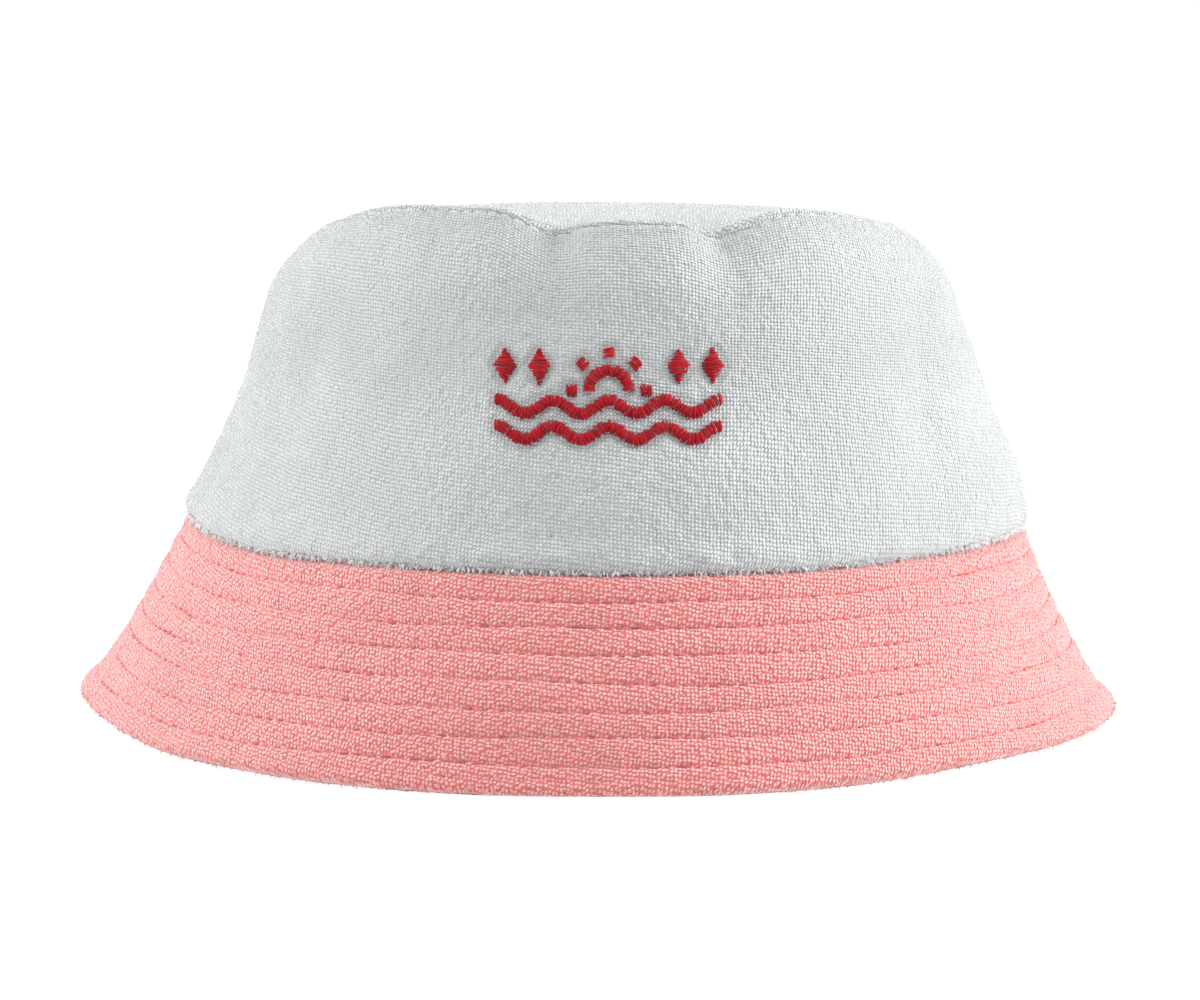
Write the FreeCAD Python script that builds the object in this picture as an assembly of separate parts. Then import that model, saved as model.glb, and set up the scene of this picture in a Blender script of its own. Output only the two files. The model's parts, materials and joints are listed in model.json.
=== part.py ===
"""Terry bucket hat: a two-panel crown with an oval tip, a quilted brim, a cotton lining and a sweatband.

Millimetres, +Z up, front towards -Y. The origin is the centre of the plane that the brim's edge rests on.
The crown's layers are faces between two offsets of one profile, turned about Z. The brim's layers and its
rows of quilting are sections lofted round the hat, because its edge droops at the front and the back.
Both are drawn in to an oval plan at the end.
"""

import FreeCAD
import Part
import math
import os

from FreeCAD import Matrix, Vector

# ---- Driving dimensions ----------------------------------------------------------------------------

OVAL = 0.94                # front-to-back size over side-to-side size, for the whole hat
SEAM_RADIUS = 100.0        # outer face of the crown where it meets the brim, at the sides
SEAM_Z = 47.0              # height of that seam above the plane that the brim rests on
SHOULDER_RADIUS = 81.2     # outer face where the straight side starts to round over to the tip
SHOULDER_Z = 106.0
TIP_RADIUS = 70.0          # outer face at the seam between the side panels and the tip
TIP_SEAM_Z = 120.0
CROWN_TOP_Z = 126.5
BRIM_RADIUS = 123.0        # outer face of the brim at its edge
SIDE_RISE = 7.0            # of the brim's edge at the sides above its front and back
REST_COSINE = 0.2          # the edge is lowest where the cosine of the angle from the sides is below this
REST_TRIM = 0.4            # cut off below the rest plane, so that the brim stands on flat facets

TERRY = 2.2                # thickness of the crown's terry cloth
BRIM_TERRY = 1.7
INTERLINING = 0.6
LINING = 0.6
SWEATBAND = 1.0
TAPE = 0.4                 # the tip seam's tape and the stabiliser behind the embroidery
PLY_GAP = 0.1              # between two plies that lie on each other
BODY_GAP = 0.3             # between the crown and the brim, which move apart
SEAM_GAP_DEG = 0.06        # half the gap between two panels at a side seam

TAPE_HALF_WIDTH = 6.0
SWEATBAND_HEIGHT = 30.0
SWEATBAND_LIFT = 0.6       # the sweatband's lower edge above the brim seam
INTERLINING_STOP = 0.9     # the interlining ends at this fraction of the brim's width
BRIM_OVERLAP = 0.03        # how far past the seam the brim's layers start, before the crown's way trims them

ROWS = 7                   # rows of quilting round the brim
THREAD_WIDTH = 0.8
THREAD_HEIGHT = 0.35
TOPSTITCH_OFFSET = 1.6     # of the two rows each side of the tip seam
BAND_STITCH_INSET = 1.6    # from the sweatband's edges

MOTIF_X = 2.0              # centre of the embroidery on the front panel
MOTIF_Z = 87.5
MOTIF_HALF_WIDTH = 25.5
STROKE = 2.4               # width of a satin-stitched stroke
SATIN_HEIGHT = 0.8
WAVES = 4                  # crests in each wave
WAVE_HEIGHT = 1.5
WAVE_DROPS = (2.6, 8.4)    # of the two waves below the motif's centre
SUN_RADIUS = 4.6
SUN_RISE = 1.0             # of the sun's centre above the motif's centre
RAYS = 5
RAY_START = 7.2
RAY_END = 9.6
DIAMOND_HALF = (2.6, 4.0)  # half width and half height
DIAMOND_X = (-23.6, -15.8, 15.8, 23.6)
DIAMOND_RISE = 6.4
BACKING_HALF = (30.0, 15.0)
BACKING_CORNER = 5.0

LABEL = (44.0, 18.0, 0.5)  # width, height and thickness of the blank woven label
CARE_WIDTH = 20.0
CARE_LENGTH = 28.0
CARE_PLY = 0.3
CARE_GAP = 0.3             # between the folded label's two plies
CARE_BEAD = 0.55           # radius of the sewn roll that the care label hangs from
CARE_CLEARANCE = 1.0       # between that roll and the sweatband

ORIGIN = Vector(0, 0, 0)
UP = Vector(0, 0, 1)
FRONT_DEG = 270.0          # direction of -Y
SAMPLES = 15               # points that carry a profile's offset curve
HALF_SECTIONS = 19         # sections lofted from one side seam to the other
RING_SECTIONS = 48         # sections lofted round a whole ring

# ---- Common shapes ---------------------------------------------------------------------------------


def oval(solid):
    """Draws the hat's round form in to its oval plan."""
    squeeze = Matrix()
    squeeze.scale(Vector(1, OVAL, 1))
    return solid.transformGeometry(squeeze)


def polygon(corners):
    return Part.makePolygon(corners + corners[:1])


def turned(face, start=0.0, sweep=360.0):
    """Turns a profile face about Z and makes it oval."""
    placed = face.copy()
    placed.rotate(ORIGIN, UP, start)
    return oval(placed.revolve(ORIGIN, UP, sweep))


def front(maker, shape):
    """The half of a layer in front of the side seams."""
    return maker(shape, 180.0 + SEAM_GAP_DEG, 180.0 - 2 * SEAM_GAP_DEG)


def back(maker, shape):
    """The half of a layer behind the side seams."""
    return maker(shape, SEAM_GAP_DEG, 180.0 - 2 * SEAM_GAP_DEG)


# ---- Crown profile ---------------------------------------------------------------------------------


def crown_profile():
    """The crown's outer face: a straight taper, a rounded shoulder and a slightly domed tip."""
    taper = Vector(SHOULDER_RADIUS - SEAM_RADIUS, 0, SHOULDER_Z - SEAM_Z)
    seam = Vector(SEAM_RADIUS, 0, SEAM_Z)
    curve = Part.BSplineCurve()
    curve.interpolate(
        Points=[
            seam,
            seam + taper * 0.35,
            seam + taper * 0.7,
            Vector(SHOULDER_RADIUS, 0, SHOULDER_Z),
            Vector(TIP_RADIUS, 0, TIP_SEAM_Z),
            Vector(0.8 * TIP_RADIUS, 0, CROWN_TOP_Z - 1.9),
            Vector(0.4 * TIP_RADIUS, 0, CROWN_TOP_Z - 0.3),
            Vector(0, 0, CROWN_TOP_Z),
        ],
        InitialTangent=taper,
        FinalTangent=Vector(-1, 0, 0),
    )
    return curve


CROWN = crown_profile()
TIP_U = CROWN.parameter(Vector(TIP_RADIUS, 0, TIP_SEAM_Z))
SEAM_U = CROWN.FirstParameter
MIDDLE_U = CROWN.LastParameter

BACKING_OUT = TERRY + PLY_GAP
LINING_OUT = BACKING_OUT + TAPE + PLY_GAP
LINING_IN = LINING_OUT + LINING
BAND_OUT = LINING_IN + PLY_GAP
BAND_IN = BAND_OUT + SWEATBAND
LABEL_OUT = BAND_IN + THREAD_HEIGHT + PLY_GAP


def crown_at(u, depth):
    """A point this far inside the crown's outer face."""
    along = CROWN.tangent(u)[0]
    return CROWN.value(u) + Vector(-along.z, 0, along.x) * depth


def above_seam(height):
    """The profile's parameter this far above the brim seam, measured along the cloth."""
    return CROWN.parameterAtDistance(height, SEAM_U)


SIDE_HEIGHT = CROWN.length(SEAM_U, TIP_U)    # of the side panels, along the cloth


def crown_layer(u_low, u_high, outer, inner):
    """The face between two depths of the crown, from one parameter to another."""
    steps = [u_low + (u_high - u_low) * i / (SAMPLES - 1) for i in range(SAMPLES)]
    edges = []
    for depth in (outer, inner):
        curve = Part.BSplineCurve()
        curve.interpolate([crown_at(u, depth) for u in steps])
        edges.append(curve.toShape())
    for u in (u_low, u_high):
        edges.append(Part.LineSegment(crown_at(u, outer), crown_at(u, inner)).toShape())
    return Part.Face(Part.Wire(Part.__sortEdges__(edges)))


def crown_thread(height, depth):
    """The face of a row of thread that lies at this depth, this far above the brim seam."""
    low, high = (above_seam(height + THREAD_WIDTH * half) for half in (-0.5, 0.5))
    outer, inner = depth, depth + THREAD_HEIGHT
    corners = [crown_at(low, outer), crown_at(high, outer), crown_at(high, inner), crown_at(low, inner)]
    return Part.Face(polygon(corners))


# ---- Crown -----------------------------------------------------------------------------------------


def crown_shell():
    """Terry side panels and tip, with a gap left at the seam between them."""
    wall = crown_layer(SEAM_U, above_seam(SIDE_HEIGHT - PLY_GAP), 0, TERRY)
    tip = crown_layer(TIP_U, MIDDLE_U, 0, TERRY)
    return {
        "crown_front_panel": front(turned, wall),
        "crown_back_panel": back(turned, wall),
        "crown_tip": turned(tip),
    }


def crown_lining():
    """Cotton lining, cut like the shell and hung inside it."""
    wall = crown_layer(SEAM_U, above_seam(SIDE_HEIGHT - PLY_GAP), LINING_OUT, LINING_IN)
    tip = crown_layer(TIP_U, MIDDLE_U, LINING_OUT, LINING_IN)
    return {
        "lining_front_panel": front(turned, wall),
        "lining_back_panel": back(turned, wall),
        "lining_tip": turned(tip),
    }


def tip_seam():
    """The tape over the tip seam's allowance, and a row of topstitching each side of the seam."""
    low, high = (above_seam(SIDE_HEIGHT + side * TAPE_HALF_WIDTH) for side in (-1, 1))
    depth = -THREAD_HEIGHT - PLY_GAP / 2
    return {
        "tip_seam_tape": turned(crown_layer(low, high, BACKING_OUT, BACKING_OUT + TAPE)),
        "tip_topstitch_lower": turned(crown_thread(SIDE_HEIGHT - TOPSTITCH_OFFSET, depth)),
        "tip_topstitch_upper": turned(crown_thread(SIDE_HEIGHT + TOPSTITCH_OFFSET, depth)),
    }


# ---- Embroidery ------------------------------------------------------------------------------------


def motif_point(x, z):
    return Vector(MOTIF_X + x, 0, MOTIF_Z + z)


def stroke(curve, count):
    """The outline of a stroke of even width round a curve, with square ends."""
    first, last = curve.FirstParameter, curve.LastParameter
    steps = [first + (last - first) * i / (count - 1) for i in range(count)]
    sides = []
    for side in (-1, 1):
        points = []
        for u in steps:
            along = curve.tangent(u)[0]
            points.append(curve.value(u) + Vector(-along.z, 0, along.x) * (side * STROKE / 2))
        edge = Part.BSplineCurve()
        edge.interpolate(points)
        sides.append((edge.toShape(), points[0], points[-1]))
    (low, low_start, low_end), (high, high_start, high_end) = sides
    ends = [Part.makeLine(low_start, high_start), Part.makeLine(low_end, high_end)]
    return Part.Wire(Part.__sortEdges__([low, high] + ends))


def wave(drop):
    """A wavy line across the motif."""
    count = 4 * WAVES + 1
    points = []
    for i in range(count):
        x = MOTIF_HALF_WIDTH * (2.0 * i / (count - 1) - 1)
        points.append(motif_point(x, WAVE_HEIGHT * math.cos(math.pi * i / 2) - drop))
    curve = Part.BSplineCurve()
    curve.interpolate(points)
    return stroke(curve, 16 * WAVES + 1)


def half_sun():
    """The sun's rim, as a half circle over the upper wave."""
    ends = [motif_point(side * SUN_RADIUS, SUN_RISE) for side in (-1, 1)]
    return stroke(Part.Arc(ends[0], motif_point(0, SUN_RISE + SUN_RADIUS), ends[1]), 13)


def ray(number):
    """The outline of one straight ray, fanned round the sun."""
    angle = math.pi * number / (RAYS - 1)
    along = Vector(math.cos(angle), 0, math.sin(angle))
    across = Vector(-along.z, 0, along.x) * (STROKE / 2)
    centre = motif_point(0, SUN_RISE)
    return polygon([
        centre + along * RAY_START - across,
        centre + along * RAY_END - across,
        centre + along * RAY_END + across,
        centre + along * RAY_START + across,
    ])


def diamond(x):
    """The outline of a filled diamond in the motif's upper row."""
    half_width, half_height = DIAMOND_HALF
    return polygon([
        motif_point(x - half_width, DIAMOND_RISE),
        motif_point(x, DIAMOND_RISE - half_height),
        motif_point(x + half_width, DIAMOND_RISE),
        motif_point(x, DIAMOND_RISE + half_height),
    ])


def front_shell(outer, inner):
    """The front of the crown's wall between two depths, wide enough for the embroidery."""
    wall = crown_layer(above_seam(5.0), above_seam(SIDE_HEIGHT - 5.0), outer, inner)
    return turned(wall, FRONT_DEG - 25.0, 50.0)


def forward(outline):
    """A flat outline drawn out towards the front of the hat."""
    return Part.Face(outline).extrude(Vector(0, -2 * SEAM_RADIUS, 0))


def embroidery():
    """A plain sun between diamonds, over two waves, in satin stitch, and the stabiliser behind it."""
    outlines = [wave(drop) for drop in WAVE_DROPS] + [half_sun()]
    outlines += [ray(i) for i in range(RAYS)] + [diamond(x) for x in DIAMOND_X]
    raised = front_shell(-SATIN_HEIGHT, -PLY_GAP / 2)
    stitched = [forward(outline).common(raised).Solids[0] for outline in outlines]
    half_width, half_height = BACKING_HALF
    corners = [(-half_width, -half_height), (half_width, -half_height)]
    corners += [(half_width, half_height), (-half_width, half_height)]
    block = forward(polygon([motif_point(x, z) for x, z in corners]))
    along_y = [edge for edge in block.Edges if abs(edge.tangentAt(edge.FirstParameter).y) > 0.99]
    block = block.makeFillet(BACKING_CORNER, along_y)
    hidden = front_shell(BACKING_OUT, BACKING_OUT + TAPE)
    return {"embroidery_stitching": Part.makeCompound(stitched), "embroidery_backing": block.common(hidden)}


# ---- Head opening ----------------------------------------------------------------------------------

BAND_TOP = SWEATBAND_LIFT + SWEATBAND_HEIGHT


def sweatband():
    """The sweatband and the rows that sew it down."""
    band = crown_layer(above_seam(SWEATBAND_LIFT), above_seam(BAND_TOP), BAND_OUT, BAND_IN)
    depth = BAND_IN + PLY_GAP / 2
    return {
        "sweatband": turned(band),
        "sweatband_stitch_lower": turned(crown_thread(SWEATBAND_LIFT + BAND_STITCH_INSET, depth)),
        "sweatband_stitch_upper": turned(crown_thread(BAND_TOP - BAND_STITCH_INSET, depth)),
    }


def woven_label():
    """A blank label sewn to the back of the sweatband."""
    width, height, thick = LABEL
    middle = SWEATBAND_LIFT + SWEATBAND_HEIGHT / 2
    low, high = above_seam(middle - height / 2), above_seam(middle + height / 2)
    half_turn = math.degrees(width / 2 / SEAM_RADIUS)
    face = crown_layer(low, high, LABEL_OUT, LABEL_OUT + thick)
    return {"woven_label": turned(face, FRONT_DEG - 180.0 - half_turn, 2 * half_turn)}


def care_label():
    """A folded blank label that hangs plumb at the left side seam, from the sweatband's upper edge.

    Its section is a loop of tape under the sewn roll that it swings about.
    """
    depth = BAND_IN + THREAD_HEIGHT + CARE_BEAD + CARE_CLEARANCE
    pivot = crown_at(above_seam(BAND_TOP), depth)
    print(f"care label pivot: x {-pivot.x:.3f}  z {pivot.z:.3f}")
    near = Vector(0, -CARE_WIDTH / 2, 0)
    along = Vector(0, 1, 0)

    def hairpin(half):
        """A flat strip of this half thickness, from the pivot down to a round fold."""
        foot = pivot.z - CARE_LENGTH + CARE_PLY + CARE_GAP / 2
        plies = Part.makeBox(2 * half, CARE_WIDTH, pivot.z - foot, near + Vector(-half, 0, foot))
        return plies.fuse(Part.makeCylinder(half, CARE_WIDTH, near + Vector(0, 0, foot), along))

    tape = hairpin(CARE_PLY + CARE_GAP / 2).cut(hairpin(CARE_GAP / 2))
    roll = Part.makeCylinder(CARE_BEAD, CARE_WIDTH, near + Vector(0, 0, pivot.z), along)
    label = tape.fuse(roll).removeSplitter()
    label.translate(Vector(-pivot.x, 0, 0))
    return {"care_label": label}


# ---- Brim ------------------------------------------------------------------------------------------


def brim_at(fraction, depth, angle):
    """A point on the brim: a fraction of its width down from the seam, and a depth from its upper face."""
    sideways = max(0.0, abs(math.cos(angle)) - REST_COSINE) / (1 - REST_COSINE)
    seam = Vector(SEAM_RADIUS + BODY_GAP, 0, SEAM_Z - BODY_GAP)
    edge = Vector(BRIM_RADIUS, 0, (SIDE_RISE + REST_TRIM) * sideways**2 - REST_TRIM)
    along = (edge - seam).normalize()
    point = seam + (edge - seam) * fraction + Vector(along.z, 0, -along.x) * depth
    return Vector(point.x * math.cos(angle), point.x * math.sin(angle), point.z)


def brim_section(angle, corners):
    """The outline of a layer or row at this angle; corners are pairs of fraction and depth."""
    return polygon([brim_at(fraction, depth, angle) for fraction, depth in corners])


def lofted(corners, start, sweep):
    """Lofts a section part of the way round the brim."""
    steps = [start + sweep * i / (HALF_SECTIONS - 1) for i in range(HALF_SECTIONS)]
    sections = [brim_section(math.radians(step), corners) for step in steps]
    return Part.makeLoft(sections, True, False, False)


def brim_layer(outer, inner, stop=1.0):
    """The corners of a layer of the brim, from just past the seam to a fraction of the brim's width."""
    return [(-BRIM_OVERLAP, outer), (stop, outer), (stop, inner), (-BRIM_OVERLAP, inner)]


def brim_trim():
    """What the brim leaves free: the crown's way up through it, and the space below the rest plane."""
    reach = 2 * BRIM_RADIUS
    way = oval(Part.makeCylinder(SEAM_RADIUS + BODY_GAP, reach, Vector(0, 0, -reach / 2)))
    below = Part.makeBox(2 * reach, 2 * reach, reach, Vector(-reach, -reach, -reach))
    return way.fuse(below)


def brim_cloth():
    """Two terry covers with the stiffening between them, each cut in a front and a back half."""
    stiff_out = BRIM_TERRY + PLY_GAP
    under_out = stiff_out + INTERLINING + PLY_GAP
    layers = {
        "brim_top": brim_layer(0, BRIM_TERRY),
        "brim_interlining": brim_layer(stiff_out, stiff_out + INTERLINING, INTERLINING_STOP),
        "brim_under": brim_layer(under_out, under_out + BRIM_TERRY),
    }
    trim = brim_trim()
    pieces = {}
    for name, corners in layers.items():
        pieces[name + "_front"] = oval(front(lofted, corners)).cut(trim)
        pieces[name + "_back"] = oval(back(lofted, corners)).cut(trim)
    return pieces


def brim_quilting():
    """Rows of thread round the brim that divide its width evenly."""
    width = BRIM_RADIUS - SEAM_RADIUS
    half = THREAD_WIDTH / 2 / math.hypot(width, SEAM_Z)
    top, foot = -THREAD_HEIGHT - PLY_GAP / 2, -PLY_GAP / 2
    rows = {}
    for number in range(1, ROWS + 1):
        middle = number / (ROWS + 1)
        corners = [(middle - half, top), (middle + half, top), (middle + half, foot), (middle - half, foot)]
        steps = [2 * math.pi * i / RING_SECTIONS for i in range(RING_SECTIONS)]
        ring = Part.makeLoft([brim_section(step, corners) for step in steps], True, False, True)
        rows[f"brim_stitch_row_{number}"] = oval(ring)
    return rows


def main():
    os.makedirs("parts", exist_ok=True)
    makers = (crown_shell, crown_lining, tip_seam, embroidery, sweatband, woven_label, care_label)
    makers += (brim_cloth, brim_quilting)
    for maker in makers:
        for name, shape in maker().items():
            solids = shape.Solids
            piece = solids[0] if len(solids) == 1 else Part.makeCompound(solids)
            box = piece.BoundBox
            print(
                f"{name:24s} solids {len(solids):2d} valid {piece.isValid()} volume {piece.Volume:9.1f}"
                f"  x {box.XMin:6.1f} {box.XMax:6.1f}  y {box.YMin:6.1f} {box.YMax:6.1f}"
                f"  z {box.ZMin:6.1f} {box.ZMax:6.1f}"
            )
            piece.exportStep(f"parts/{name}.step")


main()
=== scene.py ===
"""Terry bucket hat: the cloth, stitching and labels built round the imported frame, with a plain studio.

Metres, +Z up, front towards -Y. A turn is the angle round the hat from its front, growing towards +X.
Each layer is a smooth surface pushed out or in by a relief: the seams, the quilting and the pile. The single
loops of the terry are in its material, which reads the "cloth" UV map in millimetres.
"""

import json
import math
from math import pi

import bpy
import numpy as np
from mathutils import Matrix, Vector


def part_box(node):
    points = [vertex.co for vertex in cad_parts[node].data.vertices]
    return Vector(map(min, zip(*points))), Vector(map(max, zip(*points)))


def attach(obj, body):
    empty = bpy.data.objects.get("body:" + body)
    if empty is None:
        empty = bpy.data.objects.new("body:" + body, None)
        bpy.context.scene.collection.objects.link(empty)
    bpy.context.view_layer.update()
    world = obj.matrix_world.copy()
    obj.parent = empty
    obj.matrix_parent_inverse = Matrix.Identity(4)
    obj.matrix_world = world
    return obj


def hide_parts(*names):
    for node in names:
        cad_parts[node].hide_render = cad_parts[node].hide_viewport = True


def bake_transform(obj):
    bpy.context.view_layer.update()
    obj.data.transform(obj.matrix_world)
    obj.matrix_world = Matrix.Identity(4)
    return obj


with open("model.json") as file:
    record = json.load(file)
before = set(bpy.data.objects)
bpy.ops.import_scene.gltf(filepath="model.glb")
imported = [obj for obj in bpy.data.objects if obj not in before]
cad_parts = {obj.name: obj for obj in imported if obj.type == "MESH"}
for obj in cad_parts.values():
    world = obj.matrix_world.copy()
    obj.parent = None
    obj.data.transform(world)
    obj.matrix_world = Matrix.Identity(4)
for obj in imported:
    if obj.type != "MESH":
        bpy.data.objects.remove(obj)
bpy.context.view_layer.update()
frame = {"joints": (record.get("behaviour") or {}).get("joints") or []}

MM = 0.001
RNG = np.random.default_rng(20)

# ---- Places and sizes from the frame ----

PANEL_LOW, PANEL_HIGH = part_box("crown_front_panel")
TIP_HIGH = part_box("crown_tip")[1]
BRIM_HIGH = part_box("brim_top_front")[1]
MOTIF_LOW, MOTIF_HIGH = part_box("embroidery_stitching")
CARE_LOW, CARE_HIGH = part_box("care_label")
LABEL_LOW, LABEL_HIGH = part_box("woven_label")

SEAM_RADIUS = PANEL_HIGH.x
OVAL = -PANEL_LOW.y / PANEL_HIGH.x
SEAM_Z = BRIM_HIGH.z
TIP_RADIUS = TIP_HIGH.x
TIP_SEAM_Z = PANEL_HIGH.z
CROWN_TOP_Z = TIP_HIGH.z
BRIM_RADIUS = BRIM_HIGH.x

TERRY = 2.2 * MM
LINING_DEPTH = 2.8 * MM  # of the lining's outer face inside the crown's
LINING = 0.5 * MM
BAND_DEPTH = 3.5 * MM
BAND = 1.0 * MM
BRIM_HALF = 2.1 * MM  # half the thickness of the whole brim
BRIM_COVER = 1.6 * MM
VERTEX_STEP = 0.42 * MM  # between neighbouring vertices of the terry that shows
COARSE = 8  # the hidden side of a cloth keeps every eighth vertex
HIDDEN = np.s_[::COARSE, ::COARSE]
INNER_STEP = 1.3 * MM  # between vertices of the lining
INNER_COARSE = 4

# ---- Shape of the cloth ----

# Share of the way in and up from the brim seam to the tip seam.
PROFILE = (
    (0.0, 0.0, 0.0),
    (0.22, 0.22, 0.283),
    (0.44, 0.437, 0.566),
    (0.64, 0.57, 0.747),
    (0.77, 0.66, 0.856),
    (0.87, 0.79, 0.933),
    (1.0, 1.0, 1.0),
)
# Degrees round from the front, then how far the tip seam stands out and up from an even oval, in mm.
TIP_SEAM = (
    (-180, 0.0, 0.0),
    (-130, 0.0, -0.6),
    (-90, 0.0, -0.8),
    (-66, 0.6, 4.4),
    (-45, 0.4, 9.0),
    (-30, 0.0, 9.2),
    (-19, 0.0, 8.2),
    (-14.5, -0.4, 5.6),
    (-10.5, -1.2, 4.0),
    (-4, -0.3, 5.8),
    (6, 0.0, 6.2),
    (13, 0.0, 5.8),
    (20.5, -1.2, 3.0),
    (26, -0.4, 5.0),
    (32, 0.0, 7.6),
    (48, 0.4, 7.2),
    (66, 1.0, 3.6),
    (90, 0.8, -0.4),
    (130, 0.0, -0.6),
    (180, 0.0, 0.0),
)
# Degrees round from the front, then how far the brim seam and the brim's edge rise, in mm.
BRIM_RISE = (
    (-180, 1.6, 0.6),
    (-90, 6.0, 8.2),
    (-70, 3.6, 5.0),
    (-55, 1.8, 2.0),
    (-40, 1.6, 0.9),
    (0, 1.6, 0.6),
    (15, 1.8, 1.0),
    (28, 2.3, 2.1),
    (43, 3.3, 4.2),
    (66, 5.0, 6.0),
    (90, 6.2, 8.4),
    (180, 1.6, 0.6),
)
TIP_DOME = 8  # how quickly the tip flattens in from its seam
LEAN = ((0.0, 1.7), (30.0, 2.3), (80.0, 2.6))  # height above the seam, and the crown's lean to +X, in mm
TILT = -0.0145  # rise of the brim seam and the brim per metre towards +X
# Which side of the crown swells, how far, at what height above the seam, and over what height, in mm.
BULGES = ((-1, 1.4, 2.0, 6.0), (1, 3.0, 14.0, 12.0), (1, 2.0, 32.0, 18.0))
# Which side of the brim swells below the seam, how far, and how far its edge flares, in mm.
BRIM_PUFFS = ((-1, -0.2, 2.4), (1, -1.4, 1.8))
# Soft folds of the crown: degrees round at the brim seam and at the tip seam, depth in mm, width in
# degrees, and the middle and reach of each between the two seams.
FOLDS = (
    (-57, -50, 1.0, 4.5, 0.4, 0.45),
    (-78, -73, 0.8, 4.0, 0.2, 0.3),
    (46, 72, 2.1, 6.0, 0.4, 0.33),
    (76, 82, 0.6, 4.0, 0.2, 0.3),
    (-11, -11, 0.9, 5.0, 0.98, 0.16),
    (20, 20, 0.9, 5.0, 0.98, 0.16),
    (-30, -24, 0.35, 7.0, 0.7, 0.3),
    (112, 120, 0.9, 6.0, 0.5, 0.4),
    (148, 139, 1.0, 6.0, 0.4, 0.5),
    (-112, -120, 0.8, 6.0, 0.5, 0.4),
    (-150, -158, 1.0, 7.0, 0.4, 0.5),
)
ROWS = 7
LIP = 2.1 * MM  # from the tip seam to the rows of topstitching
STITCH = 2.7 * MM
STITCH_GAP = 0.5 * MM
STITCH_DIP = np.abs(np.linspace(-1, 1, 5)) ** 3  # how far a stitch dives in along its length
WALL_RUN = 80.5 * MM  # length of the crown's side along the cloth
BRIM_START = -1.4 * MM  # the brim's covers start inside the crown's edge
GRAIN = 0.115  # slope of the terry's rows against the seams
BRIM_GRAIN = 0.16
LOOP = (0.85, 0.83)  # pitch of the terry's loops across and down, in mm
BRIM_LOOP = (0.89, 0.98)
BAND_HEIGHT = 30.0 * MM
BAND_LIFT = 0.6 * MM  # of the sweatband above the brim seam
BAND_STITCH = 1.6 * MM  # from the sweatband's edges to its stitching
LABEL_DEPTH = 4.95 * MM
LABEL = 0.4 * MM
BRIM_HEM = 3.2 * MM  # from the brim's edge to its hem's ridge
SEAM_LOOPS = 3600  # loose loops along the crown's lower edge
EDGE_LOOPS = 5200  # and round the brim's edge
TAPE = 12.0 * MM  # width of the tape over the tip seam

# ---- Studio ----

FLOOR = 60.0  # half the size of the floor
FLOOR_GREY = (0.35, 0.35, 0.35, 1.0)
FLOOR_GLOW = 0.92
WORLD_LIGHT = 0.3
WHITE = (1.0, 1.0, 1.0, 1.0)
# Name, place, size and power.
LIGHTS = (
    ("right_box", (1.1, -0.09, 0.45), (0.7, 0.7), 19.8),
    ("left_box", (-1.1, -0.01, 0.45), (0.7, 0.7), 14.5),
    ("top_box", (0.0, -0.2, 1.25), (1.2, 0.8), 15.2),
)
LENS = 173.75
EYE = (0.0, -1.39, 0.185)
LOOK_DOWN = 5.3  # degrees

# ---- The embroidered motif, in mm ----

MOTIF_HALF_WIDTH = 25.5
STROKE = 2.4  # width of a satin-stitched stroke
SATIN_HEIGHT = 1.05
THREAD_PITCH = 0.4
WAVES = 4
WAVE_HEIGHT = 1.5
WAVE_DROPS = (2.6, 8.4)  # of the two waves below the motif's centre
SUN_RADIUS = 4.6
SUN_RISE = 1.0
RAYS = 5
RAY_START = 7.2
RAY_END = 9.6
DIAMOND_HALF = (2.6, 4.0)
DIAMOND_X = (15.8, 23.6)
DIAMOND_RISE = 6.4


def smooth(x, low, high):
    """A soft step from 0 at low to 1 at high."""
    t = np.clip((x - low) / (high - low), 0, 1)
    return t * t * (3 - 2 * t)


def bell(x, centre, width):
    return np.exp(-(((x - centre) / width) ** 2))


def unit(vectors):
    return vectors / np.maximum(np.linalg.norm(vectors, axis=-1, keepdims=True), 1e-12)


def wrapped(turn):
    return (turn + pi) % (2 * pi) - pi


def spline(knots, x):
    """A smooth curve through the knots, each a position and then values."""
    table = np.array(knots, float)
    at, values = table[:, 0], table[:, 1:]
    slopes = np.gradient(values, at, axis=0)
    x = np.asarray(x, float)
    i = np.clip(np.searchsorted(at, x, side="right") - 1, 0, len(at) - 2)
    step = (at[i + 1] - at[i])[..., None]
    t = np.clip((x - at[i])[..., None] / step, 0, 1)
    start = (1 + 2 * t) * (1 - t) ** 2 * values[i] + t * (1 - t) ** 2 * step * slopes[i]
    return start + t * t * (3 - 2 * t) * values[i + 1] - t * t * (1 - t) * step * slopes[i + 1]


def rough(shape, *sizes):
    """Random waviness of unit strength, from layers with these feature sizes in vertices."""
    total = np.zeros(shape)
    white = RNG.standard_normal(shape)
    down = np.fft.fftfreq(shape[0])[:, None]
    across = np.fft.rfftfreq(shape[1])[None, :]
    for size in sizes:
        kept = np.exp(-2 * (pi * size) ** 2 * (down**2 + across**2))
        layer = np.fft.irfft2(np.fft.rfft2(white) * kept, shape)
        total += layer / layer.std()
    return total / math.sqrt(len(sizes))


def placed(turn, radius, height, lean):
    return np.stack(
        [radius * np.sin(turn) + lean, -OVAL * radius * np.cos(turn), height + 0 * turn], axis=-1
    )


def waviness(turn, run):
    """Unevenness of cloth that has no form under it, in metres."""
    slow = np.sin(2 * turn + 5 * run + 0.6) + 0.7 * np.sin(3 * turn - 4 * run + 2.1)
    return (0.35 * slow + 0.25 * np.sin(7 * turn + 6 * run) + 0.2 * np.sin(11 * turn - 9 * run + 1)) * MM


def seam_offsets(table, turn):
    """The two columns of a table, in metres, at these turns."""
    offsets = spline(table, np.degrees(wrapped(turn))) * MM
    return offsets[..., 0], offsets[..., 1]


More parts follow.
